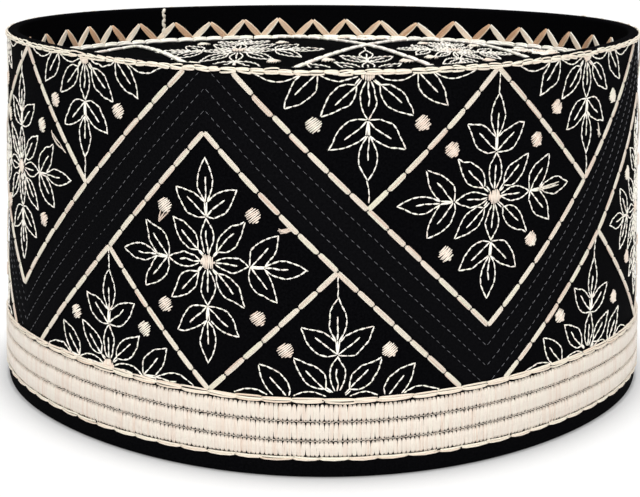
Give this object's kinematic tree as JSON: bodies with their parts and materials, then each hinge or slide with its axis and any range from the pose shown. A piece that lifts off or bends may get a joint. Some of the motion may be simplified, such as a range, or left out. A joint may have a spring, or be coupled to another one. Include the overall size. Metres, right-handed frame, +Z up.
{
  "type": "prayer cap",
  "caption": "Round brimless stiff cloth prayer cap with a laced, slightly sunken crown, cream embroidery and a satin thread band near the hem.",
  "frame": {"origin": "centre of the bounding box at the hem's underside, on the surface the cap stands on", "axes": "+Z up from hem to rim, -Y towards the front seen in the picture, +X to its right"},
  "size_m": [0.2032, 0.2018, 0.1076],
  "materials": {
    "black_cotton": "matt black woven cotton, quilted",
    "satin_thread": "soft satin stitch in cream thread",
    "cream_thread": "cream embroidery thread with a soft sheen",
    "lacing_thread": "thick tan and cream thread bundles"
  },
  "bodies": {
    "root": {"side_band": "black_cotton", "crown": "black_cotton", "satin_band": "satin_thread", "lower_border": "cream_thread", "upper_border": "cream_thread", "rim_edging": "cream_thread", "crown_edging": "cream_thread", "crown_lacing": "lacing_thread"}
  },
  "joints": []
}
